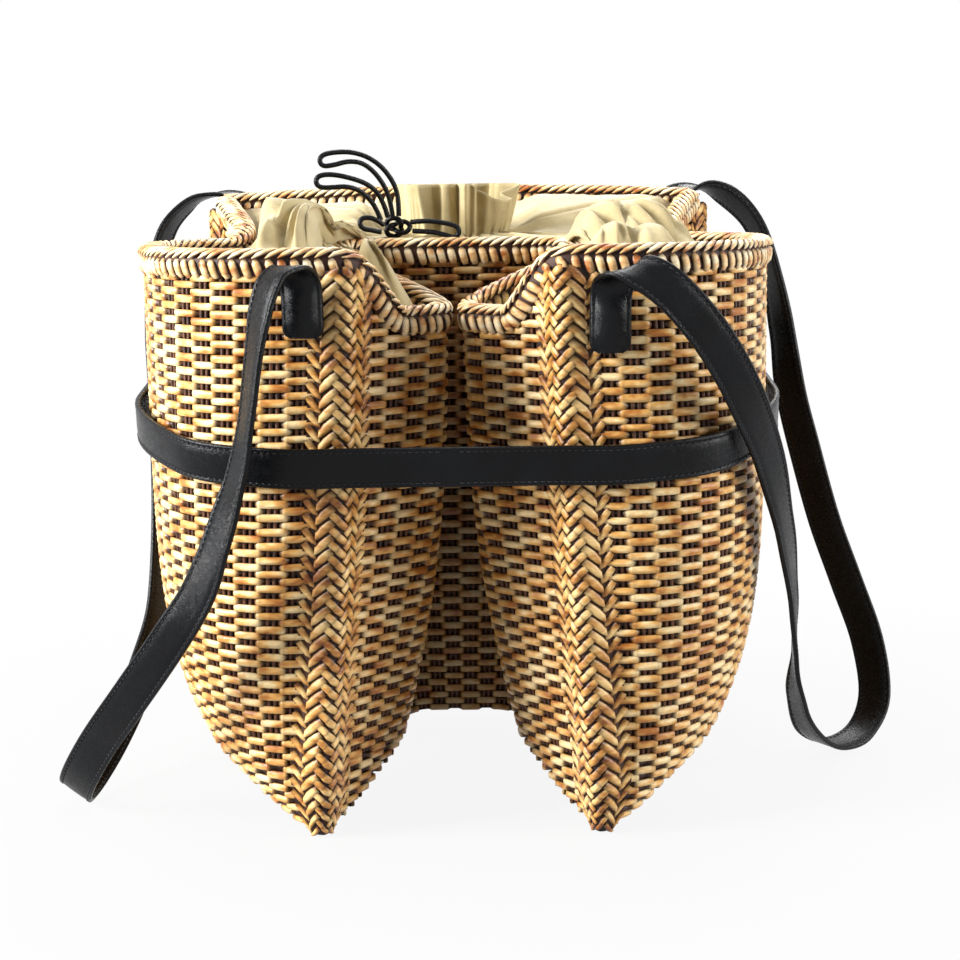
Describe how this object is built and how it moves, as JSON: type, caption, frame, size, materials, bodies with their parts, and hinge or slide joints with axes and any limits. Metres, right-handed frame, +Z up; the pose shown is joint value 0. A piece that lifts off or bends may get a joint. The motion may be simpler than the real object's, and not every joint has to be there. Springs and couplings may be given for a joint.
{
  "type": "basket backpack",
  "caption": "Woven rattan backpack with pointed feet, plaited corner ridges and rim, a leather belt, leather carrying straps and a gathered cotton drawstring lining.",
  "frame": {"origin": "middle of the footprint at floor level, the drawstring left out", "axes": "+X to the bag's right side seen from the front, -Y towards the front, +Z up"},
  "size_m": [0.472, 0.311, 0.3507],
  "materials": {
    "rattan": "satin",
    "plait": "satin",
    "leather": "satin",
    "cotton": "matte",
    "cord": "satin"
  },
  "bodies": {
    "root": {"woven_front": "rattan", "woven_right": "rattan", "woven_back": "rattan", "woven_left": "rattan", "woven_base": "rattan", "rim_border": "plait", "front_right_ridge": "plait", "front_left_ridge": "plait", "back_right_ridge": "plait", "back_left_ridge": "plait", "waist_belt": "leather", "cotton_lining": "cotton", "drawstring_collar": "cotton", "drawstring_knot": "cord", "left_strap": "leather", "right_strap": "leather", "drawstring_upper_loop": "cord", "drawstring_lower_loop": "cord", "drawstring_left_loop": "cord", "drawstring_right_tail": "cord"}
  },
  "joints": []
}
